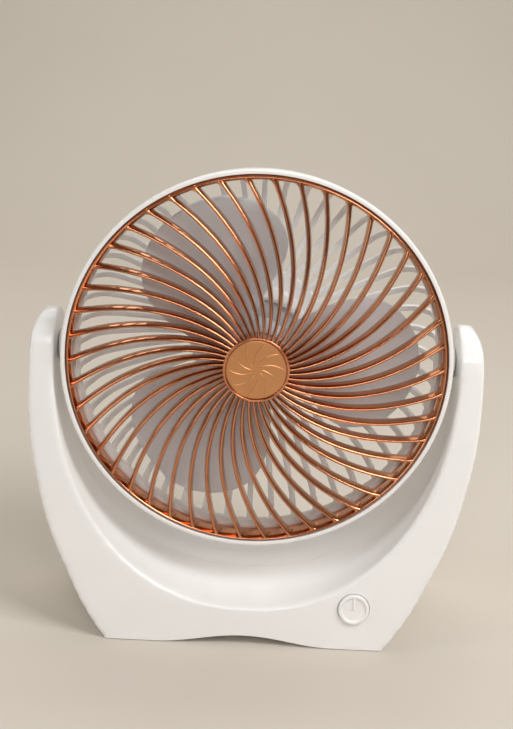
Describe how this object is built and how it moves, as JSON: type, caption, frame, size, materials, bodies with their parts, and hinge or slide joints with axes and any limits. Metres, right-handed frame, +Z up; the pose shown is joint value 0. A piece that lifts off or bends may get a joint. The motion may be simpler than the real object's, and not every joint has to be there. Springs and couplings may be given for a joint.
{
  "type": "desk fan",
  "caption": "USB desk fan with a spiral copper-coloured front grille, a tilting head held between the arms of a white U-shaped stand, and a push button on its foot.",
  "frame": {"origin": "middle of the footprint at table height, under the rubber feet", "axes": "+Z up, -Y towards the front of the fan, +X to the right of someone looking at its front"},
  "size_m": [0.2192, 0.1418, 0.233],
  "materials": {
    "white_shell": "smooth gloss white ABS",
    "white_inner": "satin off-white plastic",
    "blade_plastic": "satin translucent grey-white plastic",
    "rose_gold": "rose-gold electroplated ABS, mirror bright",
    "badge_gold": "spun copper-coloured aluminium disc with curved grooves",
    "steel": "zinc-plated steel",
    "rubber": "matte rubber",
    "circuit_board": "green solder mask",
    "dark_plastic": "matte dark plastic",
    "white_cord": "soft satin white PVC"
  },
  "bodies": {
    "stand": {"arm_lead": "white_inner", "base_bottom_plate": "white_inner", "base_front_shell": "white_shell", "base_rear_shell": "white_shell", "base_screw_1": "steel", "base_screw_2": "steel", "base_screw_3": "steel", "base_screw_4": "steel", "control_board": "circuit_board", "cord_coil": "white_cord", "cord_lead": "white_cord", "cord_plug": "white_cord", "cord_tail": "white_cord", "cord_tie": "dark_plastic", "foot_pad_1": "rubber", "foot_pad_2": "rubber", "foot_pad_3": "rubber", "foot_pad_4": "rubber", "pivot_bush_left": "dark_plastic", "pivot_bush_right": "dark_plastic", "switch_board": "circuit_board", "tact_switch": "dark_plastic", "usb_a_plug_body": "white_cord", "usb_a_plug_shell": "steel", "usb_socket": "steel"},
    "head": {"friction_washer_left": "dark_plastic", "friction_washer_right": "dark_plastic", "front_bezel": "white_shell", "front_grille": "rose_gold", "grille_badge": "badge_gold", "guard_screw_1": "steel", "guard_screw_2": "steel", "guard_screw_3": "steel", "guard_screw_4": "steel", "motor_can": "steel", "motor_cover": "white_shell", "motor_end_cap": "dark_plastic", "motor_lead": "white_inner", "motor_screw_1": "steel", "motor_screw_2": "steel", "motor_screw_3": "steel", "pivot_pin_left": "steel", "pivot_pin_right": "steel", "rear_guard": "white_shell"},
    "impeller": {"hub_cap": "blade_plastic", "impeller": "blade_plastic", "motor_shaft": "steel"},
    "button": {"power_button": "white_shell"}
  },
  "joints": [
    {"name": "head_tilt", "type": "hinge", "parent": "stand", "child": "head", "pos_m": [0, -0.005, 0.139], "axis": [1, 0, 0], "range_deg": [-90, 30]},
    {"name": "impeller_spin", "type": "hinge", "parent": "head", "child": "impeller", "pos_m": [0, -0.005, 0.139], "axis": [0, -1, 0], "continuous": true},
    {"name": "power_button_press", "type": "slide", "parent": "stand", "child": "button", "axis": [0, 0.9889, -0.1483], "range_m": [0, 0.0008], "stiffness_N_per_m": 900}
  ]
}
